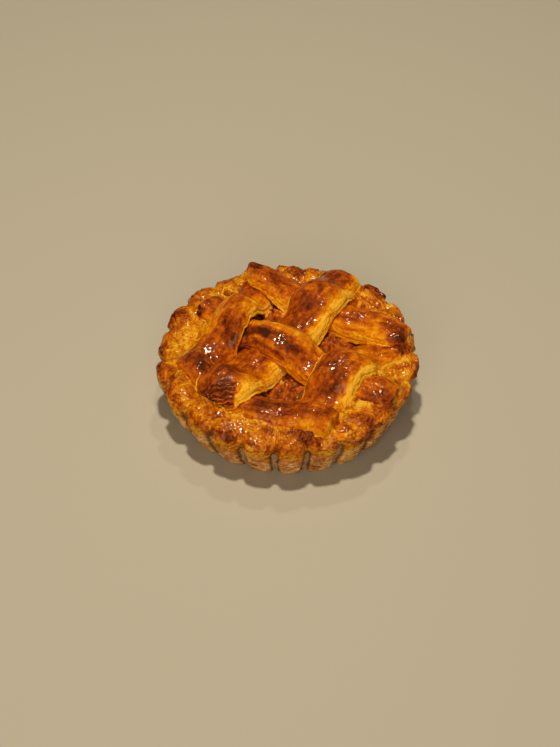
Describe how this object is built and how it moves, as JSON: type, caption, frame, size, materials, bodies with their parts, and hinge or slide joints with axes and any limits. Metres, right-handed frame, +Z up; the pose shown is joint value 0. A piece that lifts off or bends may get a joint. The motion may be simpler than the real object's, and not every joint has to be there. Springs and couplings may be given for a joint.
{
  "type": "meat pie",
  "caption": "Small round meat pie with a fluted pastry case, a broad flaky rim and a woven lattice lid of thick glazed pastry strips over a minced filling.",
  "frame": {"origin": "middle of the flat base that the pie stands on", "axes": "+Z up through the lattice lid, -Y towards the side that shows in front, +X to its right"},
  "size_m": [0.1175, 0.1178, 0.0378],
  "materials": {
    "pastry": "matt golden-brown baked crust, paler and greyer on the fluted wall",
    "glazed_pastry": "egg-washed orange-brown tops with dark blisters, and pale yellow flaky sides",
    "meat": "moist minced meat with bits of vegetable"
  },
  "bodies": {
    "root": {"pastry_case": "pastry", "filling": "meat", "lattice_warp_left": "glazed_pastry", "lattice_warp_middle": "glazed_pastry", "lattice_warp_right": "glazed_pastry", "lattice_weft_back": "glazed_pastry", "lattice_weft_middle": "glazed_pastry", "lattice_weft_front": "glazed_pastry"}
  },
  "joints": []
}
